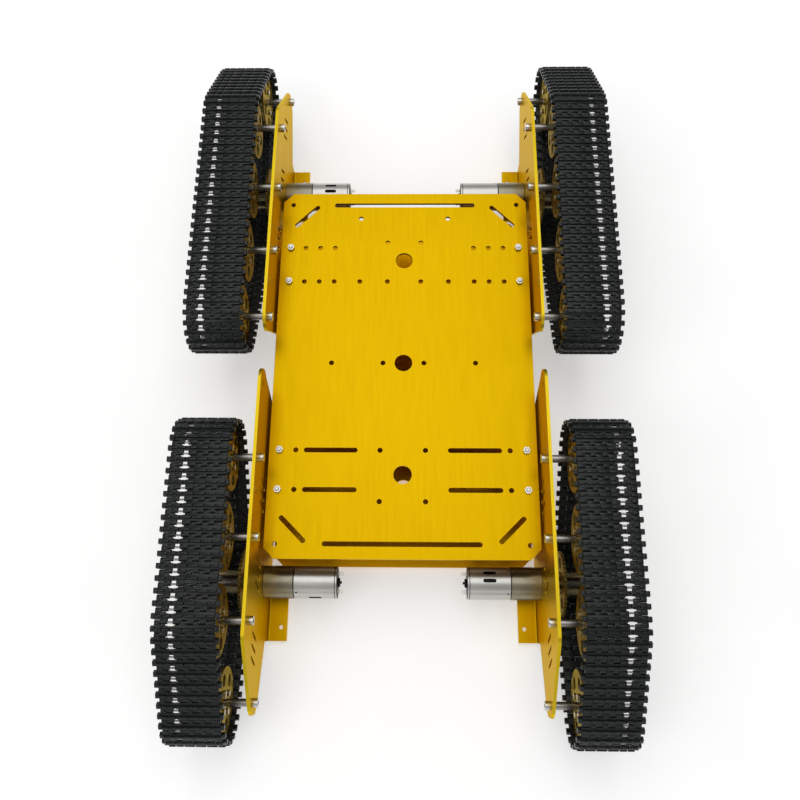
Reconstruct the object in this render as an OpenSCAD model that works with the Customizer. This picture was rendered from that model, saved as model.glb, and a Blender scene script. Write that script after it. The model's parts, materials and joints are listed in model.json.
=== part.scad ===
// Four-track robot chassis: two deck plates between four bent side plates, each side plate
// carrying a gearmotor, a drive wheel, idler wheels and a belt of pinned links.
// Millimetres, +Z up, +Y to the rear, origin at the centre of the upper deck's top face.

/* [Decks] */
// width of both deck plates, along X
deck_width = 217; // [214:0.5:218]
// length of both deck plates, along Y
deck_length = 326; // [318:1:327]
// thickness of the deck sheet
deck_sheet = 2.5; // [2:0.1:3]
// length cut off each deck corner along both edges
deck_chamfer = 8.5; // [6:0.5:10]
// length of the pillars between the two decks
pillar_length = 50; // [48:0.5:50.5]
// radius of the three large deck holes
large_hole_r = 7.4; // [6:0.1:9]
// radius of the small M3 deck holes
small_hole_r = 2.1; // [1.9:0.05:2.2]

/* [Side plates] */
// thickness of the side plate sheet
side_sheet = 2.5; // [2:0.1:2.5]
// X of the side plates' inner faces
side_x = 110.5; // [110:0.1:111]
// width of the inward tabs, from the inner face
tab_width = 15.5; // [15:0.5:17]

/* [Wheels and motors] */
// radius of the idler discs and of the drive wheels' tooth tips
wheel_r = 26; // [24:0.1:26.1]
// thickness of the wheel discs
disc_sheet = 2; // [1.5:0.1:2.5]
// radius of the gearbox
gearbox_r = 13; // [11:0.1:13]
// length of the gearbox
gearbox_length = 24; // [20:1:30]
// length of the motor can
can_length = 34.5; // [30:0.5:40]

/* [Track belts] */
// radius of the pin line around each wheel
pin_line_r = 28.1; // [28.0:0.05:28.3]
// links in each rear belt
rear_links = 80; // [79:1:80]
// links in each front belt
front_links = 66; // [65:1:66]

/* [Hidden] */
$fn = 48;

// a small overshoot that keeps cuts open
cut = 1;
// gap that keeps two fitted solids of one node apart
fit_gap = 0.05;

// deck levels
lower_top = -deck_sheet - pillar_length;
lower_bottom = lower_top - deck_sheet;

// deck hole positions, as distances from the centre
corner_x = 100;
corner_y = 151.6;
row_in = 75.6;
row_out = 108.2;
large_y = 95.8;
slot_r = 2;

// side plate outline, as distances outward (Y) and up (Z)
axle_z = 30;
axle_y = [29, 89.6, 150.6, 211.1];
end_axle = [268.3, -7.4];
drive_axle = [178, -29];
top_edge_z = 42;
kink_y = 224;
inner_end_r = 12;
tab_bottom = lower_bottom - side_sheet;
tab_top = lower_bottom;
bend_in = 1.5;
bend_out = bend_in + side_sheet;
bend_x = side_x - bend_in;
bend_z = tab_bottom + bend_out;
side_out = side_x + side_sheet;
inner_tab = [60, 123];
outer_tab = [168, 223];
tab_hole_y = 212;

// M4 axle hardware
axle_r = 2;
axle_clear = 0.1;
axle_head_r = 3.5;
axle_head_height = 4;
axle_socket_r = 1.73;
axle_nut_r = 4.04;
axle_nut_height = 3.2;

// M3 hardware
screw_r = 1.5;
screw_hole_r = 1.6;
fixing_hole_r = 1.7;
head_r = 2.75;
low_head = 2;
nut_r = 3.175;
nut_height = 2.4;

// wheels along X
idler_in = 131;
wheel_end = 156.5;
drive_in = 125.5;
axle_hole_r = 2.06;
hub_r = 4.2;
post_ring = 9;
post_r = 2.4;
cutout_ring = 18;
cutout_r = 4.6;
sleeve_r = 3;
sleeve_end = 130.6;
drive_hub_r = 7;
drive_hub_in = 118;
shaft_r = 2;
shaft_end = 148;
boss_r = 3.5;
boss_length = 3;
tooth_count = 40;
tooth_depth = 1.8;

// belt cross-section, across X and along the belt
belt_x = 148.5;
pad_half = 21.6;
edge_half = 24;
link_half = 2.45;
plate_half = 1.4;
tread = [-0.6, 1.8];
notch = 1.45;
link_pin_r = 0.75;
pin_bore_r = 0.8;
tread_top = 3;
window = [8.5, 12.1];

FRONT = -1;
REAR = 1;
LEFT = -1;
RIGHT = 1;

// a module drawn for the rear right corner, put at any corner
module corner(side, end) {
    mirror([side < 0 ? 1 : 0, 0, 0])
        mirror([0, end < 0 ? 1 : 0, 0])
            children();
}

module all_corners() {
    for (side = [LEFT, RIGHT])
        for (end = [FRONT, REAR])
            corner(side, end) children();
}

module rod_x(x0, x1, r) {
    translate([x0, 0, 0])
        rotate([0, 90, 0])
            cylinder(r = r, h = x1 - x0);
}

module hex_x(x0, x1, r) {
    translate([x0, 0, 0])
        rotate([0, 90, 0])
            cylinder(r = r, h = x1 - x0, $fn = 6);
}

// a straight slot in plan from a to b
module slot2d(a, b, r) {
    d = b - a;
    len = norm(d);
    translate(a)
        rotate(atan2(d[1], d[0])) {
            translate([0, -r]) square([len, 2 * r]);
            circle(r = r);
            translate([len, 0]) circle(r = r);
        }
}

// ---------- decks ----------
module deck_outline() {
    w = deck_width / 2;
    l = deck_length / 2;
    c = deck_chamfer;
    polygon([[-w + c, -l], [w - c, -l], [w, -l + c], [w, l - c],
        [w - c, l], [-w + c, l], [-w, l - c], [-w, -l + c]]);
}

module dot(x, y, r) {
    for (s = [-1, 1])
        translate([s * x, y]) circle(r = r, $fn = 24);
}

module fixing_holes() {
    for (y = [-row_out, -row_in, row_in, row_out])
        dot(corner_x, y, fixing_hole_r);
    for (y = [-corner_y, corner_y])
        dot(corner_x, y, small_hole_r);
}

module deck_pattern() {
    for (y = [-large_y, 0, large_y])
        translate([0, y]) circle(r = large_hole_r);
    for (y = [-151.2, 151.2])
        slot2d([-60.8, y], [60.8, y], slot_r);
    for (s = [-1, 1])
        for (t = [-1, 1])
            slot2d([s * 95.6, t * 131], [s * 77.8, t * 148.8], slot_r);
    for (s = [-1, 1])
        for (y = [-row_in, -row_out])
            slot2d([s * 38.6, y], [s * 78.2, y], slot_r);
    dot(60.4, 0, small_hole_r);
    dot(17.2, 0, small_hole_r);
    for (y = [row_in, row_out])
        for (x = [86.8, 73.8, 60.8])
            dot(x, y, small_hole_r);
    dot(38.5, row_in, small_hole_r);
    dot(14.5, row_in, small_hole_r);
    dot(14.6, 113.5, small_hole_r);
    dot(38.6, 137.7, small_hole_r);
    for (y = [-row_in, -row_out])
        dot(86.8, y, small_hole_r);
    dot(18.4, -row_in, small_hole_r);
    dot(18.4, -117.6, small_hole_r);
}

module upper_deck() {
    color([0.93, 0.73, 0.05])
        translate([0, 0, -deck_sheet])
            linear_extrude(deck_sheet)
                difference() {
                    deck_outline();
                    fixing_holes();
                    deck_pattern();
                }
}

module lower_deck() {
    color([0.93, 0.73, 0.05])
        translate([0, 0, lower_bottom])
            linear_extrude(deck_sheet)
                difference() {
                    deck_outline();
                    fixing_holes();
                    for (y = [-large_y, 0, large_y])
                        translate([0, y]) circle(r = large_hole_r);
                }
}

module at_fixings(z) {
    for (s = [-1, 1])
        for (y = [-row_out, -row_in, row_in, row_out])
            translate([s * corner_x, y, z]) children();
}

// hexagon pillars with a stud up through the upper deck and a tapped foot
module deck_pillars() {
    color([0.78, 0.78, 0.76])
        at_fixings(lower_top)
            difference() {
                union() {
                    cylinder(r = nut_r, h = pillar_length, $fn = 6);
                    cylinder(r = screw_r, h = pillar_length + deck_sheet + 3.2, $fn = 24);
                }
                translate([0, 0, -cut])
                    cylinder(r = screw_hole_r, h = 8 + cut, $fn = 24);
            }
}

module deck_nuts() {
    color([0.8, 0.8, 0.78])
        at_fixings(0)
            difference() {
                cylinder(r = nut_r, h = nut_height, $fn = 6);
                translate([0, 0, -cut])
                    cylinder(r = screw_r + fit_gap, h = nut_height + 2 * cut, $fn = 24);
            }
}

// low-headed screws up through the tab and the lower deck into each pillar
module deck_screws() {
    color([0.8, 0.8, 0.78])
        at_fixings(tab_bottom)
            difference() {
                union() {
                    translate([0, 0, -low_head]) cylinder(r = head_r, h = low_head, $fn = 24);
                    cylinder(r = screw_r, h = 12, $fn = 24);
                }
                translate([0, 0, -low_head - cut])
                    cylinder(r = 1.2, h = 1 + cut, $fn = 6);
            }
}

// ---------- side plates ----------
module side_outline() {
    polygon([[axle_y[0], top_edge_z], [kink_y - 3, top_edge_z], [kink_y + 2, top_edge_z - 2.5],
        [273.5, -0.5], [277.3, -7.5], [276.5, -19], [271, -25], [224, -42],
        [outer_tab[1], bend_z], [outer_tab[1], tab_bottom], [inner_tab[0] - 8, tab_bottom],
        [inner_tab[0] - 15, tab_bottom + 6], [20, 21.5], [17.5, 26], [17, 30], [18.3, 35.5], [22, 39.8]]);
}

// slanted slot through a side plate, centred at [y, z]
module vent(y, z) {
    translate([y, z])
        slot2d([-2.9, 7.2], [2.9, -7.2], 1.3);
}

module side_sheet_2d() {
    difference() {
        side_outline();
        for (y = axle_y)
            translate([y, axle_z]) circle(r = axle_r + axle_clear, $fn = 24);
        translate(end_axle) circle(r = axle_r + axle_clear, $fn = 24);
        translate(drive_axle) circle(r = boss_r + 0.1);
        for (s = [-1, 1])
            translate(drive_axle + [s * 8.5, 0]) circle(r = screw_hole_r, $fn = 24);
        for (g = [[114.4, 6], [175.2, 3.8], [230.2, 2.6]])
            for (k = [-1, 0, 1])
                vent(g[0] + 8.8 * k, g[1]);
    }
}

// bent tab running from y0 to y1
module tab(y0, y1) {
    len = y1 - y0;
    translate([side_x - tab_width, y0, tab_bottom])
        cube([bend_x - side_x + tab_width, len, side_sheet]);
    intersection() {
        translate([bend_x, y0, tab_bottom]) cube([bend_out, len, bend_out]);
        translate([bend_x, y0, bend_z])
            rotate([-90, 0, 0])
                difference() {
                    cylinder(r = bend_out, h = len);
                    translate([0, 0, -cut]) cylinder(r = bend_in, h = len + 2 * cut);
                }
    }
}

module side_plate() {
    color([0.93, 0.73, 0.05])
        difference() {
            union() {
                difference() {
                    translate([side_x, 0, 0])
                        rotate([90, 0, 90])
                            linear_extrude(side_sheet) side_sheet_2d();
                    for (t = [inner_tab, outer_tab])
                        translate([side_x - cut, t[0], tab_bottom - cut])
                            cube([side_sheet + 2 * cut, t[1] - t[0] + (t == outer_tab ? cut : 0), bend_out + cut]);
                }
                tab(inner_tab[0], inner_tab[1]);
                tab(outer_tab[0], outer_tab[1]);
            }
            for (y = [row_in, row_out, tab_hole_y])
                translate([corner_x, y, tab_bottom - cut])
                    cylinder(r = fixing_hole_r, h = side_sheet + 2 * cut, $fn = 24);
        }
}

module side_plate_front_left() { corner(LEFT, FRONT) side_plate(); }
module side_plate_front_right() { corner(RIGHT, FRONT) side_plate(); }
module side_plate_rear_left() { corner(LEFT, REAR) side_plate(); }
module side_plate_rear_right() { corner(RIGHT, REAR) side_plate(); }

// ---------- gearmotors ----------
module at_drive() {
    translate([0, drive_axle[0], drive_axle[1]]) children();
}

module gearbox() {
    color([0.55, 0.55, 0.52])
        at_drive()
            difference() {
                union() {
                    rod_x(side_x - gearbox_length, side_x, gearbox_r);
                    rod_x(side_x - 1, side_x + boss_length, boss_r);
                }
                rod_x(side_x - 4, side_x + boss_length + cut, shaft_r + 0.06);
                for (s = [-1, 1])
                    translate([0, s * 8.5, 0]) rod_x(side_x - 6, side_x + cut, screw_r + fit_gap);
            }
}

can_front = side_x - gearbox_length;
can_back = can_front - can_length;
can_r = gearbox_r - 0.3;

// vent_turn: how far the two pairs of vents are turned about the motor's axis
module motor_can(vent_turn) {
    color([0.75, 0.75, 0.75])
        at_drive() {
            difference() {
                union() {
                    rod_x(can_back, can_back + 1.2, can_r);
                    rod_x(can_back + 1, can_back + 2, can_r - 0.5);
                    rod_x(can_back + 1.8, can_front - 0.7, can_r);
                    rod_x(can_front - 1, can_front, can_r - 0.9);
                    rod_x(can_back - 2, can_back + 1, 3.5);
                    rod_x(can_back - 3.5, can_back, 1);
                }
                for (a = [-15, 15, 165, 195])
                    rotate([vent_turn + a, 0, 0])
                        translate([can_back + can_length / 2, 0, can_r])
                            linear_extrude(4.8, center = true)
                                slot2d([-3.7, 0], [3.7, 0], 1.5);
                for (a = [45, 135, 225, 315])
                    rotate([a, 0, 0])
                        translate([can_front - 2.6, 0, can_r - 0.8])
                            cylinder(r = 0.8, h = 2, $fn = 16);
                for (s = [-1, 1])
                    translate([can_back - cut, 7 * s - 1.6, -0.4 - fit_gap])
                        cube([2 + cut, 3.2, 0.8 + 2 * fit_gap]);
            }
        }
}

module motor_terminals() {
    color([0.8, 0.72, 0.4])
        all_corners()
            at_drive()
                for (s = [-1, 1])
                    translate([can_back - 4.5, 7 * s - 1.4, -0.4])
                        cube([6.3, 2.8, 0.8]);
}

module motor_screws() {
    color([0.8, 0.8, 0.78])
        all_corners()
            at_drive()
                for (s = [-1, 1])
                    translate([0, s * 8.5, 0]) {
                        rod_x(side_x - 5, side_out, screw_r);
                        rod_x(side_out, side_out + low_head, head_r);
                    }
}

module motor_shaft() {
    color([0.8, 0.8, 0.8])
        at_drive()
            rod_x(side_x - 3.5, shaft_end, shaft_r);
}

module gearbox_front_left() { corner(LEFT, FRONT) gearbox(); }
module gearbox_front_right() { corner(RIGHT, FRONT) gearbox(); }
module gearbox_rear_left() { corner(LEFT, REAR) gearbox(); }
module gearbox_rear_right() { corner(RIGHT, REAR) gearbox(); }
module motor_can_front_left() { corner(LEFT, FRONT) motor_can(90); }
module motor_can_front_right() { corner(RIGHT, FRONT) motor_can(20); }
module motor_can_rear_left() { corner(LEFT, REAR) motor_can(-9); }
module motor_can_rear_right() { corner(RIGHT, REAR) motor_can(90); }
module motor_shaft_front_left() { corner(LEFT, FRONT) motor_shaft(); }
module motor_shaft_front_right() { corner(RIGHT, FRONT) motor_shaft(); }
module motor_shaft_rear_left() { corner(LEFT, REAR) motor_shaft(); }
module motor_shaft_rear_right() { corner(RIGHT, REAR) motor_shaft(); }

// ---------- axles ----------
// idler centres of one corner: the front corners leave the innermost place empty
function idler_places(end) = [for (i = [(end < 0 ? 1 : 0):4]) i];
function idler_pos(i) = i < 4 ? [0, axle_y[i], axle_z] : [0, end_axle[0], end_axle[1]];

module all_axles() {
    for (side = [LEFT, RIGHT])
        for (end = [FRONT, REAR])
            corner(side, end)
                for (i = idler_places(end))
                    translate(idler_pos(i)) children();
}

axle_nut_in = wheel_end + 0.3;

module axle_bolts() {
    color([0.8, 0.8, 0.78])
        all_axles()
            difference() {
                union() {
                    rod_x(side_x - axle_head_height, side_x, axle_head_r);
                    rod_x(side_x, axle_nut_in + axle_nut_height + 1.2, axle_r);
                }
                hex_x(side_x - axle_head_height - cut, side_x - axle_head_height + 2, axle_socket_r);
            }
}

module axle_sleeves() {
    color([0.72, 0.72, 0.7])
        all_axles()
            difference() {
                rod_x(side_out, sleeve_end, sleeve_r);
                rod_x(side_out - cut, sleeve_end + cut, axle_r + fit_gap);
            }
}

module axle_nuts() {
    color([0.8, 0.8, 0.78])
        all_axles()
            difference() {
                hex_x(axle_nut_in, axle_nut_in + axle_nut_height, axle_nut_r);
                rod_x(axle_nut_in - cut, axle_nut_in + axle_nut_height + cut, axle_r + fit_gap);
            }
}

// ---------- wheels ----------
module disc_holes(centre_r) {
    circle(r = centre_r);
    for (a = [0:60:300])
        rotate(a + 30) translate([cutout_ring, 0]) circle(r = cutout_r, $fn = 32);
    for (a = [45:90:315])
        rotate(a) translate([post_ring, 0]) circle(r = screw_r + fit_gap, $fn = 24);
}

module plain_disc(x0, centre_r) {
    translate([x0, 0, 0])
        rotate([90, 0, 90])
            linear_extrude(disc_sheet)
                difference() {
                    circle(r = wheel_r, $fn = 96);
                    disc_holes(centre_r);
                }
}

// outline of the toothed disc, two points on each tip and two on each root
tooth_step = 360 / tooth_count;
tooth_ring = [for (k = [0:tooth_count - 1])
    for (p = [[-0.17, wheel_r], [0.17, wheel_r], [0.33, wheel_r - tooth_depth], [0.67, wheel_r - tooth_depth]])
        p[1] * [cos((k + p[0]) * tooth_step), sin((k + p[0]) * tooth_step)]];

module toothed_disc(x0, centre_r) {
    translate([x0, 0, 0])
        rotate([90, 0, 90])
            linear_extrude(disc_sheet)
                difference() {
                    polygon(tooth_ring);
                    disc_holes(centre_r);
                }
}

// posts that clamp the two discs, with a low head at each end
module posts(x0, x1) {
    for (a = [45:90:315])
        rotate([a, 0, 0])
            translate([0, post_ring, 0]) {
                rod_x(x0 + disc_sheet + fit_gap, x1 - disc_sheet - fit_gap, post_r);
                rod_x(x0 - fit_gap - 1.6, x1 + fit_gap + 0.8, screw_r);
                rod_x(x0 - fit_gap - 1.6, x0 - fit_gap, head_r - 0.3);
                rod_x(x1 + fit_gap, x1 + fit_gap + 1.6, head_r - 0.3);
            }
}

module idler(i) {
    color([0.8, 0.62, 0.15])
        translate(idler_pos(i)) {
            plain_disc(idler_in, hub_r + fit_gap);
            plain_disc(wheel_end - disc_sheet, hub_r + fit_gap);
            posts(idler_in, wheel_end);
            difference() {
                rod_x(idler_in, wheel_end, hub_r);
                rod_x(idler_in - cut, wheel_end + cut, axle_hole_r);
            }
        }
}

module drive_wheel() {
    color([0.8, 0.62, 0.15])
        at_drive() {
            toothed_disc(drive_in, drive_hub_r - 2 + fit_gap);
            plain_disc(wheel_end - disc_sheet, drive_hub_r - 2 + fit_gap);
            posts(drive_in, wheel_end);
        }
}

// stepped hub: a wide collar against the first disc and a spigot through both discs
module drive_hub() {
    color([0.7, 0.7, 0.68])
        at_drive()
            difference() {
                union() {
                    rod_x(drive_hub_in, drive_in - 1.8, drive_hub_r);
                    rod_x(drive_in - 2, wheel_end, drive_hub_r - 2);
                }
                rod_x(drive_hub_in - cut, shaft_end + 1, shaft_r + 0.02);
                translate([drive_hub_in + 3, 0, 0]) cylinder(r = screw_r, h = drive_hub_r + cut, $fn = 24);
            }
}

module drive_wheel_front_left() { corner(LEFT, FRONT) drive_wheel(); }
module drive_wheel_front_right() { corner(RIGHT, FRONT) drive_wheel(); }
module drive_wheel_rear_left() { corner(LEFT, REAR) drive_wheel(); }
module drive_wheel_rear_right() { corner(RIGHT, REAR) drive_wheel(); }
module drive_hub_front_left() { corner(LEFT, FRONT) drive_hub(); }
module drive_hub_front_right() { corner(RIGHT, FRONT) drive_hub(); }
module drive_hub_rear_left() { corner(LEFT, REAR) drive_hub(); }
module drive_hub_rear_right() { corner(RIGHT, REAR) drive_hub(); }
module idler_front_left_1() { corner(LEFT, FRONT) idler(1); }
module idler_front_left_2() { corner(LEFT, FRONT) idler(2); }
module idler_front_left_3() { corner(LEFT, FRONT) idler(3); }
module idler_front_left_4() { corner(LEFT, FRONT) idler(4); }
module idler_front_right_1() { corner(RIGHT, FRONT) idler(1); }
module idler_front_right_2() { corner(RIGHT, FRONT) idler(2); }
module idler_front_right_3() { corner(RIGHT, FRONT) idler(3); }
module idler_front_right_4() { corner(RIGHT, FRONT) idler(4); }
module idler_rear_left_0() { corner(LEFT, REAR) idler(0); }
module idler_rear_left_1() { corner(LEFT, REAR) idler(1); }
module idler_rear_left_2() { corner(LEFT, REAR) idler(2); }
module idler_rear_left_3() { corner(LEFT, REAR) idler(3); }
module idler_rear_left_4() { corner(LEFT, REAR) idler(4); }
module idler_rear_right_0() { corner(RIGHT, REAR) idler(0); }
module idler_rear_right_1() { corner(RIGHT, REAR) idler(1); }
module idler_rear_right_2() { corner(RIGHT, REAR) idler(2); }
module idler_rear_right_3() { corner(RIGHT, REAR) idler(3); }
module idler_rear_right_4() { corner(RIGHT, REAR) idler(4); }

// ---------- track belts ----------
// wheel centres the belt turns around, in order along the belt
function belt_posts(end) = [[axle_y[end < 0 ? 1 : 0], axle_z], [axle_y[3], axle_z], end_axle, drive_axle];
function run(p, i) = p[(i + 1) % 4] - p[i % 4];
function heading(p, i) = atan2(run(p, i)[1], run(p, i)[0]);
function turn(p, i) = (heading(p, i) - heading(p, i + 1) + 720) % 360;
function arc_len(p, i) = pin_line_r * turn(p, i) * PI / 180;
function belt_len(p) = norm(run(p, 0)) + norm(run(p, 1)) + norm(run(p, 2)) + norm(run(p, 3))
    + 2 * PI * pin_line_r;
function out_of(a) = [-sin(a), cos(a)];

// [y, z, heading] at distance s along the belt's pin line
function on_belt(p, s, i = 0) =
    s < norm(run(p, i))
    ? let (h = heading(p, i), c = p[i % 4] + s * [cos(h), sin(h)] + pin_line_r * out_of(h)) [c[0], c[1], h]
    : s < norm(run(p, i)) + arc_len(p, i)
    ? let (h = heading(p, i) - (s - norm(run(p, i))) / pin_line_r * 180 / PI,
        c = p[(i + 1) % 4] + pin_line_r * out_of(h)) [c[0], c[1], h]
    : on_belt(p, s - norm(run(p, i)) - arc_len(p, i), i + 1);

function link_count(end) = end < 0 ? front_links : rear_links;
function half_pitch(end) = belt_len(belt_posts(end)) / link_count(end) / 2;
// [y, z] of the pin that leads link k, a link's pitch further on for each k
function pin_place(end, k) = on_belt(belt_posts(end), (2 * (k % link_count(end)) + 1) * half_pitch(end));
// rounded so that links on a straight run lie exactly flat
function round_angle(a) = round(1000 * a) / 1000;
// [y, z, heading] of link k, midway between its two pins
function link_place(end, k) =
    let (a = pin_place(end, k + link_count(end) - 1), b = pin_place(end, k))
    [(a[0] + b[0]) / 2, (a[1] + b[1]) / 2, round_angle(atan2(b[1] - a[1], b[0] - a[0]))];

// x ranges of the fingers on a link's leading and trailing edge
lead_fingers = [[-11, -5.1], [1.2, 8.2], [12.4, 21.6]];
trail_fingers = [[-21.6, -11.3], [-4.8, 0.9]];

// one finger with a round end on the joint line, ahead (s = 1) or behind (s = -1)
module finger(x, s, h) {
    len = x[1] - x[0];
    translate([belt_x + x[0], s * h, 0])
        rotate([0, 90, 0]) cylinder(r = plate_half, h = len, $fn = 20);
    translate([belt_x + x[0], s > 0 ? 0 : -h, -plate_half])
        cube([len, h, 2 * plate_half]);
}

module link(h) {
    difference() {
        union() {
            translate([belt_x, 0, -plate_half])
                linear_extrude(2 * plate_half)
                    polygon([[-edge_half, -link_half], [window[0], -link_half], [window[0], -notch],
                        [window[1], -notch], [window[1], -link_half], [edge_half, -link_half],
                        [edge_half, link_half], [-edge_half, link_half]]);
            translate([belt_x - pad_half, tread[0], 0])
                cube([2 * pad_half, tread[1] - tread[0], tread_top]);
            for (x = lead_fingers) finger(x, 1, h);
            for (x = trail_fingers) finger(x, -1, h);
        }
        for (s = [-1, 1])
            translate([belt_x - pad_half - cut, s * h, 0])
                rotate([0, 90, 0]) cylinder(r = pin_bore_r, h = 2 * (pad_half + cut), $fn = 16);
    }
}

// reversed: the links' trailing edges lead
module belt(end, reversed) {
    color([0.05, 0.05, 0.055])
        for (k = [0:link_count(end) - 1]) {
            p = link_place(end, k);
            translate([0, p[0], p[1]])
                rotate([p[2], 0, 0])
                    if (reversed) mirror([0, 1, 0]) link(half_pitch(end));
                    else link(half_pitch(end));
        }
}

module track_links_front_left() { corner(LEFT, FRONT) belt(FRONT, false); }
module track_links_front_right() { corner(RIGHT, FRONT) belt(FRONT, true); }
module track_links_rear_left() { corner(LEFT, REAR) belt(REAR, true); }
module track_links_rear_right() { corner(RIGHT, REAR) belt(REAR, false); }

module track_pins() {
    color([0.8, 0.8, 0.8])
        for (side = [LEFT, RIGHT])
            for (end = [FRONT, REAR])
                corner(side, end)
                    for (k = [0:link_count(end) - 1]) {
                        p = pin_place(end, k);
                        translate([0, p[0], p[1]])
                            rotate([0, 90, 0])
                                translate([0, 0, belt_x - pad_half - 1])
                                    cylinder(r = link_pin_r, h = 2 * pad_half + 2, $fn = 16);
                    }
}

upper_deck();
lower_deck();
deck_pillars();
deck_nuts();
deck_screws();
side_plate_front_left();
side_plate_front_right();
side_plate_rear_left();
side_plate_rear_right();
track_links_front_left();
track_links_front_right();
track_links_rear_left();
track_links_rear_right();
track_pins();
gearbox_front_left();
gearbox_front_right();
gearbox_rear_left();
gearbox_rear_right();
motor_can_front_left();
motor_can_front_right();
motor_can_rear_left();
motor_can_rear_right();
motor_terminals();
motor_screws();
axle_bolts();
axle_sleeves();
axle_nuts();
motor_shaft_front_left();
motor_shaft_front_right();
motor_shaft_rear_left();
motor_shaft_rear_right();
drive_hub_front_left();
drive_hub_front_right();
drive_hub_rear_left();
drive_hub_rear_right();
drive_wheel_front_left();
drive_wheel_front_right();
drive_wheel_rear_left();
drive_wheel_rear_right();
idler_front_left_1();
idler_front_left_2();
idler_front_left_3();
idler_front_left_4();
idler_front_right_1();
idler_front_right_2();
idler_front_right_3();
idler_front_right_4();
idler_rear_left_0();
idler_rear_left_1();
idler_rear_left_2();
idler_rear_left_3();
idler_rear_left_4();
idler_rear_right_0();
idler_rear_right_1();
idler_rear_right_2();
idler_rear_right_3();
idler_rear_right_4();
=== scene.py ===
import json
import math

import bmesh
import bpy
import numpy as np
from mathutils import Matrix, Vector
from mathutils.bvhtree import BVHTree


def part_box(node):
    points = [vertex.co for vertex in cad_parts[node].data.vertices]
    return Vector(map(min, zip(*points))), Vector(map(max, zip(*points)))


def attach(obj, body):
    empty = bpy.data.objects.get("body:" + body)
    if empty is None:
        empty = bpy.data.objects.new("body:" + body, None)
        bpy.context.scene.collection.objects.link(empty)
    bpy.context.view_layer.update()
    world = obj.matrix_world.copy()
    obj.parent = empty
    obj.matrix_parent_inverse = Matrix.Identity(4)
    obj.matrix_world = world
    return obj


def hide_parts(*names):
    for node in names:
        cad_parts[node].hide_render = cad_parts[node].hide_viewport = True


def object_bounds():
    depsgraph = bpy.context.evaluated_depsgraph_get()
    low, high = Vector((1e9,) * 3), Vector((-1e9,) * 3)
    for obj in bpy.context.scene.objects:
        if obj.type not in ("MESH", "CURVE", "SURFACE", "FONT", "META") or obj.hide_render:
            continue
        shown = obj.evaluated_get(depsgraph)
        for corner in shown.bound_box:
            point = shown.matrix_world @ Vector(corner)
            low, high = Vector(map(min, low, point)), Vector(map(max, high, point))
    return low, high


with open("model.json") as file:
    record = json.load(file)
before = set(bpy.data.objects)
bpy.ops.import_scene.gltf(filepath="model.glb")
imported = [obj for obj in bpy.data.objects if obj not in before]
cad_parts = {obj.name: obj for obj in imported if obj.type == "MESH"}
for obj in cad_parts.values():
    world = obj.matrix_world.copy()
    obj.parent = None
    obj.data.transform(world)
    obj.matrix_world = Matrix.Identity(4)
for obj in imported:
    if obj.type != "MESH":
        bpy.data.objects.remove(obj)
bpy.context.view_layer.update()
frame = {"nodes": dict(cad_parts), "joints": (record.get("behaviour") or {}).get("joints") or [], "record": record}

MM = 0.001
SAME_POINT = 0.002 * MM
WHEEL_DISC = 30 * MM  # only a wheel's discs are taller than this
AT_AXLE = 2 * MM
NODES = frame["nodes"]
JOINTS = {j["child"]: j for j in frame["joints"]}
BODY_OF = {n: b for b, members in frame["record"]["behaviour"]["bodies"].items() for n in members}


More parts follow.
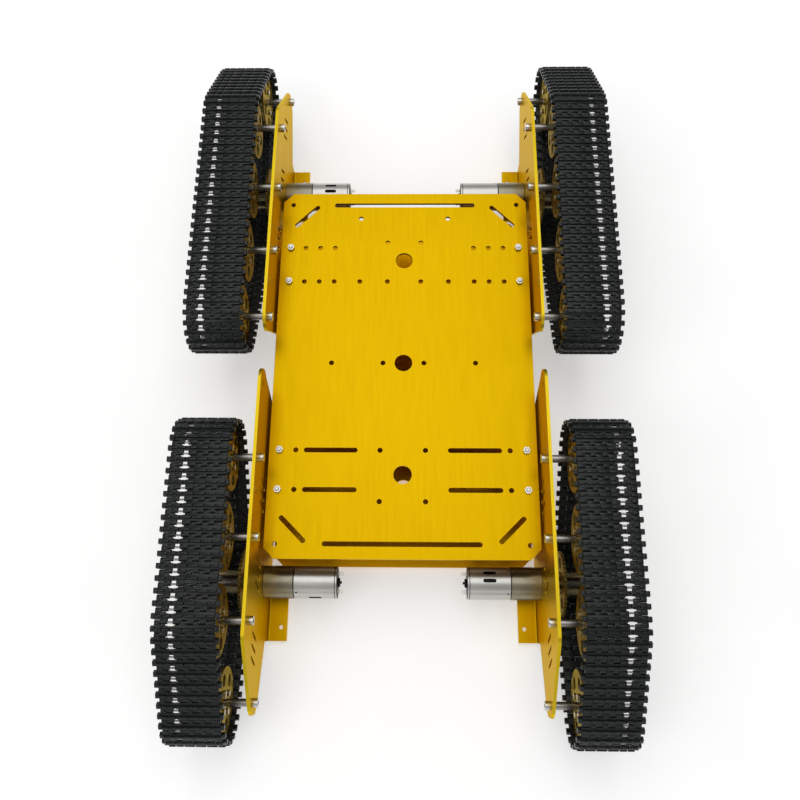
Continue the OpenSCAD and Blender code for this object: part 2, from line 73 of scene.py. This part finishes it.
# ---------------------------------------------------------------- materials
class Nodes:
    """A small builder for one material's node tree."""

    def __init__(self, name):
        self.material = bpy.data.materials.new(name)
        self.material.use_nodes = True
        self.tree = self.material.node_tree
        self.shader = self.tree.nodes["Principled BSDF"]
        self.coords = self.tree.nodes.new("ShaderNodeTexCoord").outputs["Object"]

    def add(self, kind, **values):
        node = self.tree.nodes.new(kind)
        for key, value in values.items():
            if key in node.inputs:
                node.inputs[key].default_value = value
            else:
                setattr(node, key, value)
        return node

    def link(self, a, b):
        self.tree.links.new(a, b)

    def noise(self, scale, detail=3.0, rough=0.5, stretch=None):
        node = self.add("ShaderNodeTexNoise", Scale=scale, Detail=detail, Roughness=rough)
        if stretch:
            mapping = self.add("ShaderNodeMapping", Scale=stretch)
            self.link(self.coords, mapping.inputs["Vector"])
            self.link(mapping.outputs["Vector"], node.inputs["Vector"])
        else:
            self.link(self.coords, node.inputs["Vector"])
        return node.outputs["Fac"]

    def ramp(self, fac, low, high, a=0.3, b=0.7):
        node = self.add("ShaderNodeMapRange")
        self.link(fac, node.inputs["Value"])
        for key, value in (("From Min", a), ("From Max", b), ("To Min", low), ("To Max", high)):
            node.inputs[key].default_value = value
        return node.outputs["Result"]

    def tint(self, fac, dark, light, a=0.3, b=0.7):
        node = self.add("ShaderNodeValToRGB")
        node.color_ramp.elements[0].position = a
        node.color_ramp.elements[1].position = b
        node.color_ramp.elements[0].color = (*dark, 1)
        node.color_ramp.elements[1].color = (*light, 1)
        self.link(fac, node.inputs["Fac"])
        return node.outputs["Color"]

    def mix(self, fac, a, b):
        node = self.add("ShaderNodeMix", data_type="RGBA", blend_type="MIX")
        if isinstance(fac, float):
            node.inputs[0].default_value = fac
        else:
            self.link(fac, node.inputs[0])
        for socket, value in ((node.inputs[6], a), (node.inputs[7], b)):
            if isinstance(value, tuple):
                socket.default_value = (*value, 1)
            else:
                self.link(value, socket)
        return node.outputs[2]

    def bump(self, height, strength, distance, below=None):
        node = self.add("ShaderNodeBump", Strength=strength, Distance=distance)
        self.link(height, node.inputs["Height"])
        if below is not None:
            self.link(below, node.inputs["Normal"])
        return node.outputs["Normal"]

    def edge_wear_and_highlight(self, radius):
        """1 on convex edges, 0 elsewhere."""
        geometry = self.add("ShaderNodeNewGeometry")
        bevel = self.add("ShaderNodeBevel", Radius=radius, samples=4)
        dot = self.add("ShaderNodeVectorMath", operation="DOT_PRODUCT")
        self.link(bevel.outputs["Normal"], dot.inputs[0])
        self.link(geometry.outputs["Normal"], dot.inputs[1])
        return self.ramp(dot.outputs["Value"], 1.0, 0.0, 0.86, 0.99)

    def finish(self, colour, roughness, normal=None, metallic=0.0, **shader):
        for socket, value in (("Base Color", colour), ("Roughness", roughness), ("Normal", normal)):
            if value is None:
                continue
            if isinstance(value, (tuple, float)):
                self.shader.inputs[socket].default_value = (*value, 1) if isinstance(value, tuple) else value
            else:
                self.link(value, self.shader.inputs[socket])
        self.shader.inputs["Metallic"].default_value = metallic
        for key, value in shader.items():
            self.shader.inputs[key.replace("_", " ")].default_value = value
        return self.material


def anodised(name, dark, light, rough_low, rough_high, worn=(0.62, 0.50, 0.14),
             glancing=(1.0, 0.86, 0.45, 1.0)):
    """Dyed, bead-blasted aluminium: fine grain, faint smears, bare metal showing on the edges."""
    n = Nodes(name)
    smear = n.noise(9.0, 4.0, 0.6)
    grain = n.noise(1900.0, 2.0, 0.6)
    scratch = n.noise(420.0, 3.0, 0.55, stretch=(1.0, 0.06, 1.0))
    colour = n.tint(smear, dark, light)
    colour = n.mix(n.ramp(grain, 0.0, 0.14), colour, tuple(0.55 * c for c in dark))
    colour = n.mix(n.ramp(n.edge_wear_and_highlight(0.35 * MM), 0.0, 0.45, 0.0, 1.0), colour, worn)
    rough = n.ramp(n.mix(0.5, smear, scratch), rough_low, rough_high)
    normal = n.bump(grain, 0.2, 0.04 * MM)
    normal = n.bump(scratch, 0.04, 0.03 * MM, normal)
    return n.finish(colour, rough, normal, metallic=1.0, Specular_Tint=glancing)


def steel(name, dark, light, rough_low, rough_high, stretch=(1.0, 1.0, 1.0), lines=0.08, patchy=60.0):
    """Bare or plated steel with fine machining lines along the stretched axis and dull patches."""
    n = Nodes(name)
    patch = n.noise(patchy, 3.0, 0.55)
    line = n.noise(1500.0, 2.0, 0.5, stretch=stretch)
    colour = n.tint(patch, dark, light)
    colour = n.mix(n.ramp(line, 0.0, 0.18), colour, tuple(0.7 * c for c in dark))
    rough = n.ramp(n.mix(0.4, patch, line), rough_low, rough_high)
    normal = n.bump(line, lines, 0.04 * MM)
    return n.finish(colour, rough, normal, metallic=1.0)


def moulded(name, dark, light, rough_low, rough_high):
    """Black injection-moulded nylon: faint flow marks, fine texture, dust, and bluish-lighter convex edges that
    are partly scuffing and partly a painted highlight.
    """
    n = Nodes(name)
    flow = n.noise(120.0, 4.0, 0.6)
    fine = n.noise(2200.0, 3.0, 0.6)
    dust = n.noise(35.0, 5.0, 0.65)
    colour = n.tint(flow, dark, light)
    colour = n.mix(n.ramp(dust, 0.0, 0.08, 0.55, 0.8), colour, (0.10, 0.10, 0.09))
    # convex edges lightened to a bluish grey: partly scuffing, partly a painted highlight
    colour = n.mix(n.ramp(n.edge_wear_and_highlight(0.22 * MM), 0.0, 0.55, 0.0, 1.0), colour, (0.038, 0.046, 0.050))
    rough = n.ramp(flow, rough_low, rough_high)
    normal = n.bump(fine, 0.12, 0.04 * MM)
    return n.finish(colour, rough, normal, Specular_IOR_Level=0.34)


GOLD = anodised("gold_anodised", (0.56, 0.330, 0.0013), (0.64, 0.395, 0.0018), 0.30, 0.42)
# lighter, yellower gold for the outer cut edges that face open space: a painted highlight
GOLD_EDGE_PAINTED_HIGHLIGHT = anodised("gold_cut_edge_painted_highlight", (0.66, 0.46, 0.010), (0.76, 0.56, 0.02), 0.30, 0.42)
# the lower deck's gold, lighter and more orange than the upper deck's: a painted reflection of the upper deck's
# underside
LOWER_GOLD_PAINTED_REFLECTION = anodised("gold_anodised_lower_painted_reflection", (0.70, 0.36, 0.0016), (0.80, 0.43, 0.0022), 0.30, 0.42)
# dull, darkened gold for the wheel discs: painted shade of the belts above them
WHEEL_GOLD_PAINTED_SHADE = anodised("wheel_gold_anodised_painted_shade", (0.26, 0.185, 0.05), (0.36, 0.265, 0.08), 0.30, 0.42)
ZINC = steel("zinc_plated_steel", (0.48, 0.47, 0.44), (0.70, 0.69, 0.66), 0.15, 0.27)
# turned aluminium darkened below its own tone: painted shade of the dark surroundings it reflects
SLEEVE_PAINTED_SHADE = steel("turned_aluminium_painted_shade", (0.30, 0.28, 0.25), (0.42, 0.40, 0.37), 0.20, 0.30,
               stretch=(2.0, 0.2, 0.2))
NICKEL = steel("nickel_plate", (0.50, 0.48, 0.44), (0.64, 0.62, 0.58), 0.16, 0.28)
GEARBOX = steel("gearbox_steel", (0.24, 0.22, 0.16), (0.32, 0.30, 0.23), 0.26, 0.36,
                stretch=(1.4, 0.15, 0.15))
CAN = steel("motor_can_steel", (0.52, 0.51, 0.48), (0.62, 0.61, 0.58), 0.30, 0.38,
            stretch=(0.2, 1.0, 1.0), patchy=25.0)
# near black for the faces sunk into the motor can's openings: painted shade inside the can
CAN_OPENING_PAINTED_SHADE = steel("motor_can_opening_painted_shade", (0.020, 0.019, 0.018), (0.045, 0.042, 0.038), 0.5, 0.6)
BRASS = steel("tinned_brass", (0.46, 0.38, 0.20), (0.60, 0.52, 0.32), 0.22, 0.36)
PIN = steel("pin_steel", (0.30, 0.30, 0.30), (0.42, 0.42, 0.42), 0.16, 0.28)
PLASTIC = moulded("black_nylon", (0.0042, 0.0062, 0.0056), (0.0085, 0.0118, 0.0108), 0.25, 0.38)
THREAD_SHADOW = steel("thread_shadow", (0.05, 0.035, 0.02), (0.09, 0.07, 0.05), 0.4, 0.5)
TINNED = steel("tinned_terminal", (0.42, 0.40, 0.35), (0.58, 0.56, 0.50), 0.22, 0.36)

SLOT_MATERIAL = {
    "gold_plate": GOLD, "wheel_gold": WHEEL_GOLD_PAINTED_SHADE, "nickel_pillar": NICKEL, "steel_hardware": ZINC,
    "steel_sleeve": SLEEVE_PAINTED_SHADE, "gearbox_steel": GEARBOX, "motor_can_steel": CAN, "terminal_brass": TINNED,
    "track_plastic": PLASTIC,
}


# ---------------------------------------------------------------- the CAD nodes
def soften(obj, width):
    """Joins the mesh's doubled points, merges its flat faces and rounds its sharp edges, as modifiers."""
    custom = obj.data.attributes.get("custom_normal")
    if custom:
        obj.data.attributes.remove(custom)
    for poly in obj.data.polygons:
        poly.use_smooth = True
    weld = obj.modifiers.new("weld", "WELD")
    weld.merge_threshold = SAME_POINT
    flat = obj.modifiers.new("flat_faces", "DECIMATE")
    flat.decimate_type = "DISSOLVE"
    flat.angle_limit = math.radians(0.5)
    flat.delimit = {"MATERIAL"}
    bevel = obj.modifiers.new("edge_round", "BEVEL")
    bevel.width = width
    bevel.segments = 2
    bevel.limit_method = "ANGLE"
    bevel.angle_limit = math.radians(35)
    bevel.use_clamp_overlap = True
    weighted = obj.modifiers.new("normals", "WEIGHTED_NORMAL")
    weighted.keep_sharp = True
    weighted.weight = 80


def mark_faces(obj, material, wanted):
    """Gives the polygons that wanted(centre, normal) picks a second material."""
    obj.data.materials.append(material)
    index = len(obj.data.materials) - 1
    for poly in obj.data.polygons:
        if wanted(poly.center, poly.normal):
            poly.material_index = index


def on_outline(obj, sheet, opening):
    """Picks the sheet's outer cut edge: solid metal behind the face, and nothing close in front of it."""
    tree = BVHTree.FromPolygons([v.co for v in obj.data.vertices], [p.vertices for p in obj.data.polygons])
    step = 0.05 * MM

    def wanted(centre, normal):
        ahead = tree.ray_cast(centre + step * normal, normal, opening)
        behind = tree.ray_cast(centre - step * normal, -normal, 1.0)
        return ahead[0] is None and behind[3] is not None and behind[3] > 1.4 * sheet

    return wanted


def in_can_opening(obj):
    """Picks the faces sunk below the motor can's round skin."""
    low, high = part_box(obj.name)
    middle = (low + high) / 2
    radius = (high.z - low.z) / 2

    def wanted(centre, normal):
        depth = radius - math.hypot(centre.y - middle.y, centre.z - middle.z)
        return depth > 0.45 * MM and min(centre.x - low.x, high.x - centre.x) > 0.2 * MM

    return wanted


def loose_parts(obj):
    """One part number per polygon, parts being joined wherever points coincide."""
    mesh = obj.data
    co = np.zeros(len(mesh.vertices) * 3)
    mesh.vertices.foreach_get("co", co)
    keys = np.round(co.reshape(-1, 3) / SAME_POINT).astype(np.int64)
    _, merged = np.unique(keys, axis=0, return_inverse=True)
    merged = merged.reshape(-1)
    parent = list(range(int(merged.max()) + 1))

    def root(i):
        while parent[i] != i:
            parent[i] = parent[parent[i]]
            i = parent[i]
        return i

    for poly in mesh.polygons:
        first = root(merged[poly.vertices[0]])
        for v in poly.vertices[1:]:
            parent[root(merged[v])] = first
    return [root(merged[poly.vertices[0]]) for poly in mesh.polygons]


def part_boxes(obj, parts):
    """The lowest and highest corner of each loose part."""
    boxes = {}
    for poly, part in zip(obj.data.polygons, parts):
        for v in poly.vertices:
            co = obj.data.vertices[v].co
            low, high = boxes.setdefault(part, (co.copy(), co.copy()))
            for k in range(3):
                low[k] = min(low[k], co[k])
                high[k] = max(high[k], co[k])
    return boxes


def paint_wheel(obj, axis):
    """Discs in the darkened gold (painted shade), the hub in the darkened aluminium (painted shade), the posts
    brass.
    """
    obj.data.materials.clear()
    for material in (WHEEL_GOLD_PAINTED_SHADE, SLEEVE_PAINTED_SHADE, BRASS):
        obj.data.materials.append(material)
    parts = loose_parts(obj)
    boxes = part_boxes(obj, parts)
    for poly, part in zip(obj.data.polygons, parts):
        low, high = boxes[part]
        centre = (low + high) / 2
        if high.z - low.z > WHEEL_DISC:
            poly.material_index = 0
        elif math.hypot(centre.y - axis[1], centre.z - axis[2]) < AT_AXLE:
            poly.material_index = 1
        else:
            poly.material_index = 2


# the lower deck takes the gold with the painted reflection
OWN_MATERIAL = {"lower_deck": LOWER_GOLD_PAINTED_REFLECTION}
OUTER_EDGE_ONLY = 30 * MM  # a cut edge with metal nearer than this in front of it lines a hole
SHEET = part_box("upper_deck")[1].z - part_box("upper_deck")[0].z
slots = {s["node"]: s["material_slot"] for s in frame["record"]["subparts"]}
ROUNDING = {"upper_deck": 0.3, "lower_deck": 0.3, "gearbox": 0.5, "motor_can": 0.35, "side_plate": 0.3,
            "axle_bolts": 0.22, "axle_sleeves": 0.2, "motor_terminals": 0.1}
for name, obj in NODES.items():
    if name.startswith("track_"):
        continue
    obj.data.materials.clear()
    obj.data.materials.append(OWN_MATERIAL.get(name, SLOT_MATERIAL[slots[name]]))
    width = next((w for key, w in ROUNDING.items() if name.startswith(key)), 0.2)
    soften(obj, width * MM)
    if name.startswith(("side_plate", "upper_deck", "lower_deck")):
        # the outer cut edges, which face open space, get the lighter gold as a painted highlight
        mark_faces(obj, GOLD_EDGE_PAINTED_HIGHLIGHT, on_outline(obj, SHEET, OUTER_EDGE_ONLY))
    if name.startswith("motor_can"):
        # faces sunk into the can's openings are painted near black as shade
        mark_faces(obj, CAN_OPENING_PAINTED_SHADE, in_can_opening(obj))
    if name.startswith(("idler", "drive_wheel")):
        paint_wheel(obj, JOINTS[BODY_OF[name]]["pos_m"])


def revolved(name, profile, places):
    """One mesh of (radius, z) profiles turned about upright axes at (x, y)."""
    count = 24
    points, faces = [], []
    for x, y in places:
        base = len(points)
        for k in range(count):
            a = 2 * math.pi * k / count
            points += [(x + r * math.cos(a), y + r * math.sin(a), z) for r, z in profile]
        rows = len(profile)
        for k in range(count):
            m = (k + 1) % count
            for r in range(rows - 1):
                here, there = base + k * rows + r, base + m * rows + r
                faces.append((here, there, there + 1, here + 1))
    mesh = bpy.data.meshes.new(name)
    mesh.from_pydata(points, [], faces)
    for poly in mesh.polygons:
        poly.use_smooth = True
    obj = bpy.data.objects.new(name, mesh)
    bpy.context.scene.collection.objects.link(obj)
    return obj


# a dark ring on each nut's mouth and a cone round each stud's end, shaped like the thread's last turn, painted
# dark as the shadow in the nut's mouth and on the thread
nut_boxes = part_boxes(NODES["deck_nuts"], loose_parts(NODES["deck_nuts"]))
nut_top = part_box("deck_nuts")[1].z
stud_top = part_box("deck_pillars")[1].z
thread_shadow_rings = revolved("stud_thread_shadows", [(1.85 * MM, nut_top + 0.03 * MM), (1.6 * MM, nut_top + 0.1 * MM),
                                    (1.4 * MM, stud_top - 0.2 * MM), (0.8 * MM, stud_top + 0.04 * MM)],
                   [((lo.x + hi.x) / 2, (lo.y + hi.y) / 2) for lo, hi in nut_boxes.values()])
thread_shadow_rings.data.materials.append(THREAD_SHADOW)
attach(thread_shadow_rings, BODY_OF["deck_nuts"])


# ---------------------------------------------------------------- belt links
# half thickness of a link's plate and half length of its web along the belt, in millimetres
PLATE_HALF = 1.4
WEB_HALF = 2.75
# x ranges, in millimetres, of a finger at its root and at its tip
LEAD_FINGERS = (((12.1, 17.5), (12.2, 16.6)), ((2.1, 8.5), (3.0, 8.4)),
                ((-6.7, -1.3), (-5.8, -2.2)), ((-15.1, -9.9), (-14.2, -10.8)))
TRAIL_FINGERS = (((16.75, 21.3), (17.65, 21.3)), ((-2.05, 2.85), (-1.15, 1.95)),
                 ((-10.65, -5.95), (-9.75, -6.85)), ((-20.9, -14.35), (-20.9, -15.25)))
# the web's plan as (x from, y from, x to, y to): full, stepped back by the window, and full again
WEB = ((-20.9, -2.75, 6.9, 2.75), (6.2, -1.8, 8.5, 2.75), (7.8, -1.5, 12.8, 1.9),
       (12.1, -1.8, 14.6, 2.75), (13.9, -2.75, 21.3, 2.75))
# x ranges of the raised blocks, and of the studs that stand out at both edges of the belt
TREADS = ((-20.7, -15.2), (-14.9, -6.9), (-6.6, 1.4), (1.7, 9.7), (10.0, 15.6), (15.9, 21.1))
EDGE_STUDS = ((-23.6, -20.3), (20.7, 24.0))


def skin(bm, left, right):
    """Closes a solid between two matching outlines."""
    rings = [[bm.verts.new(p) for p in outline] for outline in (left, right)]
    count = len(left)
    bm.faces.new(rings[0])
    bm.faces.new(list(reversed(rings[1])))
    for k in range(count):
        m = (k + 1) % count
        bm.faces.new((rings[0][m], rings[0][k], rings[1][k], rings[1][m]))


def block(bm, low, high, taper=0.0):
    """A box whose top is narrower than its foot by taper along the belt, and half as much across it."""
    (lx, ly, lz), (hx, hy, hz) = low, high
    side = taper / 2
    skin(bm, [(lx, ly, lz), (lx, hy, lz), (lx + side, hy - taper, hz), (lx + side, ly + taper, hz)],
         [(hx, ly, lz), (hx, hy, lz), (hx - side, hy - taper, hz), (hx - side, ly + taper, hz)])


def finger(bm, root, tip, joint_y, facing):
    """A trapezium in plan, round where it wraps the pin."""
    start = WEB_HALF - 0.3
    arc = [(joint_y + PLATE_HALF * math.cos(a), PLATE_HALF * math.sin(a))
           for a in (math.radians(90 - 30 * k) for k in range(7))]
    profile = [(start, -PLATE_HALF), (start, PLATE_HALF)] + arc

    def edge(side):
        run = joint_y + PLATE_HALF - start
        lean = (tip[side] - root[side]) / run
        return [(root[side] + lean * (y - start), facing * y, z) for y, z in profile]

    skin(bm, edge(0), edge(1))


def link_mesh(half_pitch):
    """One link, x across the belt (outboard is +x), y towards the pin ahead, z outward, in millimetres."""
    bm = bmesh.new()
    for x0, y0, x1, y1 in WEB:
        block(bm, (x0, y0, -PLATE_HALF), (x1, y1, PLATE_HALF - 0.1))
    for low, high in TREADS:
        block(bm, (low, -0.9, 1.0), (high, 1.4, 2.95), 0.35)
    for low, high in EDGE_STUDS:
        block(bm, (low, -2.1, -1.3), (high, 2.3, 2.0), 0.4)
    for root, tip in LEAD_FINGERS:
        finger(bm, root, tip, half_pitch, 1)
    for root, tip in TRAIL_FINGERS:
        finger(bm, root, tip, half_pitch, -1)
    bmesh.ops.recalc_face_normals(bm, faces=bm.faces)
    sharp = [e for e in bm.edges if len(e.link_faces) == 2 and e.calc_face_angle() > math.radians(40)]
    bmesh.ops.bevel(bm, geom=sharp, offset=0.3, segments=2, profile=0.5, affect="EDGES",
                    clamp_overlap=True)
    bmesh.ops.recalc_face_normals(bm, faces=bm.faces)
    bm.verts.index_update()
    points = np.array([v.co[:] for v in bm.verts])
    faces = [[v.index for v in f.verts] for f in bm.faces]
    bm.free()
    return points, faces


def pin_centres():
    """The middle of every link pin, read from the CAD node."""
    mesh = NODES["track_pins"].data
    co = np.zeros(len(mesh.vertices) * 3)
    mesh.vertices.foreach_get("co", co)
    co = co.reshape(-1, 3)
    found = []
    while len(co):
        close_by = np.abs(co[:, 1:] - co[0, 1:]).max(axis=1) < 2.5 * MM
        near = close_by & (np.sign(co[:, 0]) == np.sign(co[0, 0]))
        group = co[near]
        found.append((group.min(axis=0) + group.max(axis=0)) / 2)
        co = co[~near]
    return np.array(found)


def build_belt(node, side, end, pins, reversed_links):
    """One link between each two neighbouring pins of a belt, in place of the CAD links."""
    mine = pins[(np.sign(pins[:, 0]) == side) & (np.sign(pins[:, 1]) == end)]
    flat = np.c_[np.abs(mine[:, 1]), mine[:, 2]]
    middle = flat.mean(axis=0)
    order = np.argsort(-np.arctan2(flat[:, 1] - middle[1], flat[:, 0] - middle[0]))
    flat = flat[order]
    ahead = np.roll(flat, -1, axis=0)
    pitch = float(np.median(np.linalg.norm(ahead - flat, axis=1)))
    points, faces = link_mesh(pitch / 2 / MM)
    if reversed_links:
        points = points * (1, -1, 1)
    step = 1 if (side * end > 0) != reversed_links else -1
    x_middle = abs(mine[:, 0]).mean()
    all_points, all_faces = [], []
    for k in range(len(flat)):
        along = (ahead[k] - flat[k]) / np.linalg.norm(ahead[k] - flat[k])
        outward = np.array([-along[1], along[0]])
        centre = (flat[k] + ahead[k]) / 2
        yz = centre + MM * (points[:, 1:2] * along + points[:, 2:3] * outward)
        placed = np.c_[side * (x_middle + MM * points[:, 0]), end * yz[:, 0], yz[:, 1]]
        base = k * len(points)
        all_points.append(placed)
        all_faces += [[base + v for v in f[::step]] for f in faces]
    mesh = bpy.data.meshes.new(node + "_moulded")
    mesh.from_pydata(np.concatenate(all_points).tolist(), [], all_faces)
    mesh.materials.append(PLASTIC)
    mesh.polygons.foreach_set("use_smooth", [True] * len(mesh.polygons))
    mesh.set_sharp_from_angle(angle=math.radians(50))
    obj = bpy.data.objects.new(node + "_moulded", mesh)
    bpy.context.scene.collection.objects.link(obj)
    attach(obj, BODY_OF[node])
    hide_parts(node)
    return obj


def pin_rods(places, radius, half_length):
    """Every link pin as a rod across its belt with a rounded end."""
    profile = [(-half_length, 0.6 * radius), (-half_length + 0.3 * radius, radius),
               (half_length - 0.3 * radius, radius), (half_length, 0.6 * radius)]
    count = 12
    points, faces = [], []
    for place in places:
        base = len(points)
        for x, r in profile:
            for k in range(count):
                a = 2 * math.pi * k / count
                points.append((place[0] + x, place[1] + r * math.cos(a), place[2] + r * math.sin(a)))
        for row in range(3):
            for k in range(count):
                m = (k + 1) % count
                corner = base + row * count
                faces.append((corner + k, corner + k + count, corner + m + count, corner + m))
        faces.append([base + k for k in range(count)])
        faces.append([base + 3 * count + k for k in reversed(range(count))])
    mesh = bpy.data.meshes.new("track_pin_rods")
    mesh.from_pydata(points, [], faces)
    mesh.materials.append(PIN)
    mesh.polygons.foreach_set("use_smooth", [True] * len(mesh.polygons))
    mesh.set_sharp_from_angle(angle=math.radians(50))
    obj = bpy.data.objects.new("track_pin_rods", mesh)
    bpy.context.scene.collection.objects.link(obj)
    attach(obj, BODY_OF["track_pins"])
    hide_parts("track_pins")


PIN_RADIUS = 0.75 * MM
PIN_HALF_LENGTH = 20.7 * MM
PINS = pin_centres()
pin_rods(PINS, PIN_RADIUS, PIN_HALF_LENGTH)
for end_name, end in (("front", -1), ("rear", 1)):
    for side_name, side in (("left", -1), ("right", 1)):
        build_belt(f"track_links_{end_name}_{side_name}", side, end, PINS, side * end < 0)


# ---------------------------------------------------------------- floor, light and camera
FLOOR_HALF = 6
floor_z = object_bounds()[0][2]
floor_mesh = bpy.data.meshes.new("floor")
floor_corners = [(x * FLOOR_HALF, y * FLOOR_HALF, floor_z) for x, y in ((-1, -1), (1, -1), (1, 1), (-1, 1))]
floor_mesh.from_pydata(floor_corners, [], [(0, 1, 2, 3)])
floor = bpy.data.objects.new("floor", floor_mesh)
bpy.context.scene.collection.objects.link(floor)
paper = Nodes("pale_floor")
paper_colour = paper.tint(paper.noise(6.0), (0.92, 0.92, 0.92), (0.95, 0.95, 0.95))
paper.link(paper_colour, paper.shader.inputs["Emission Color"])
floor_mesh.materials.append(paper.finish(paper_colour, 0.9, Emission_Strength=0.38))

world = bpy.data.worlds.new("studio")
bpy.context.scene.world = world
world.use_nodes = True
world.node_tree.nodes["Background"].inputs["Color"].default_value = (1.0, 1.0, 1.0, 1)
world.node_tree.nodes["Background"].inputs["Strength"].default_value = 0.45


def softbox(name, place, aim, size, radiance):
    """A rectangular light of a given brightness, whatever its size."""
    data = bpy.data.lights.new(name, "AREA")
    data.shape = "RECTANGLE"
    data.size, data.size_y = size
    data.energy = radiance * math.pi * size[0] * size[1]
    lamp = bpy.data.objects.new(name, data)
    lamp.location = place
    lamp.rotation_euler = (Vector(aim) - Vector(place)).to_track_quat("-Z", "Y").to_euler()
    bpy.context.scene.collection.objects.link(lamp)


softbox("overhead", (-0.03, 0.45, 1.4), (0, 0, 0), (1.1, 1.6), 1.22)
softbox("key", (-0.9, -0.6, 1.3), (0, 0, 0), (0.8, 0.8), 1.3)
softbox("front", (0.2, -1.3, 0.5), (0, 0, 0), (1.4, 0.5), 0.5)

camera_data = bpy.data.cameras.new("camera")
camera_data.sensor_width = 36.0
camera_data.lens = 36.0
camera_data.clip_start = 0.01
camera = bpy.data.objects.new("camera", camera_data)
bpy.context.scene.collection.objects.link(camera)
PITCH, YAW, ROLL = 1.253, -0.0575, 0.0515
forward = Vector((math.sin(YAW) * math.cos(PITCH), math.cos(YAW) * math.cos(PITCH), -math.sin(PITCH)))
right = Vector((math.cos(YAW), -math.sin(YAW), 0))
down = forward.cross(right)
rolled_right = math.cos(ROLL) * right + math.sin(ROLL) * down
rolled_down = -math.sin(ROLL) * right + math.cos(ROLL) * down
turn = Matrix((rolled_right, -rolled_down, -forward)).transposed()
camera.matrix_world = Matrix.Translation((0.00928, -0.23896, 0.62794)) @ turn.to_4x4()
bpy.context.scene.camera = camera
bpy.context.scene.view_settings.view_transform = "Standard"
